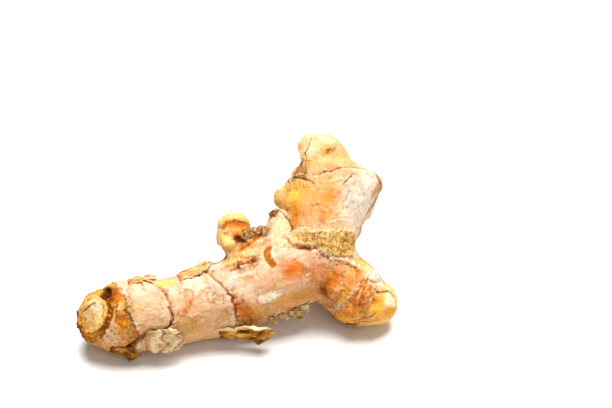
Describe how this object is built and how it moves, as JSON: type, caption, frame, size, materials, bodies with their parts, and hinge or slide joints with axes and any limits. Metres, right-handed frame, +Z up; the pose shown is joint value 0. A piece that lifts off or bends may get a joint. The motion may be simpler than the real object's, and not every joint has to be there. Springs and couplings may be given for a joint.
{
  "type": "turmeric rhizome",
  "caption": "Fresh whole turmeric rhizome lying on its side: a long finger with a broken end, a thick upper branch with a round crown, a short thumb, small buds and dry papery scale leaves.",
  "frame": {"origin": "on the table, under the middle of the whole piece's bounding box", "axes": "+Z up from the table; +X along the long finger, from its broken end to the short thumb; +Y towards the upper branch and the finger behind it"},
  "size_m": [0.0834, 0.0629, 0.0388],
  "materials": {
    "skin": "matte, thin pale skin over orange flesh",
    "dry_leaf": "dry, papery and fibrous"
  },
  "bodies": {
    "root": {"rhizome": "skin", "end_flap": "dry_leaf", "end_frill": "dry_leaf", "end_peel": "dry_leaf", "middle_flap": "dry_leaf", "middle_peel": "dry_leaf", "back_scale": "dry_leaf", "collar": "dry_leaf", "crown_scale": "dry_leaf", "side_scale": "dry_leaf", "thumb_scale": "dry_leaf", "back_finger_scale": "dry_leaf"}
  },
  "joints": []
}
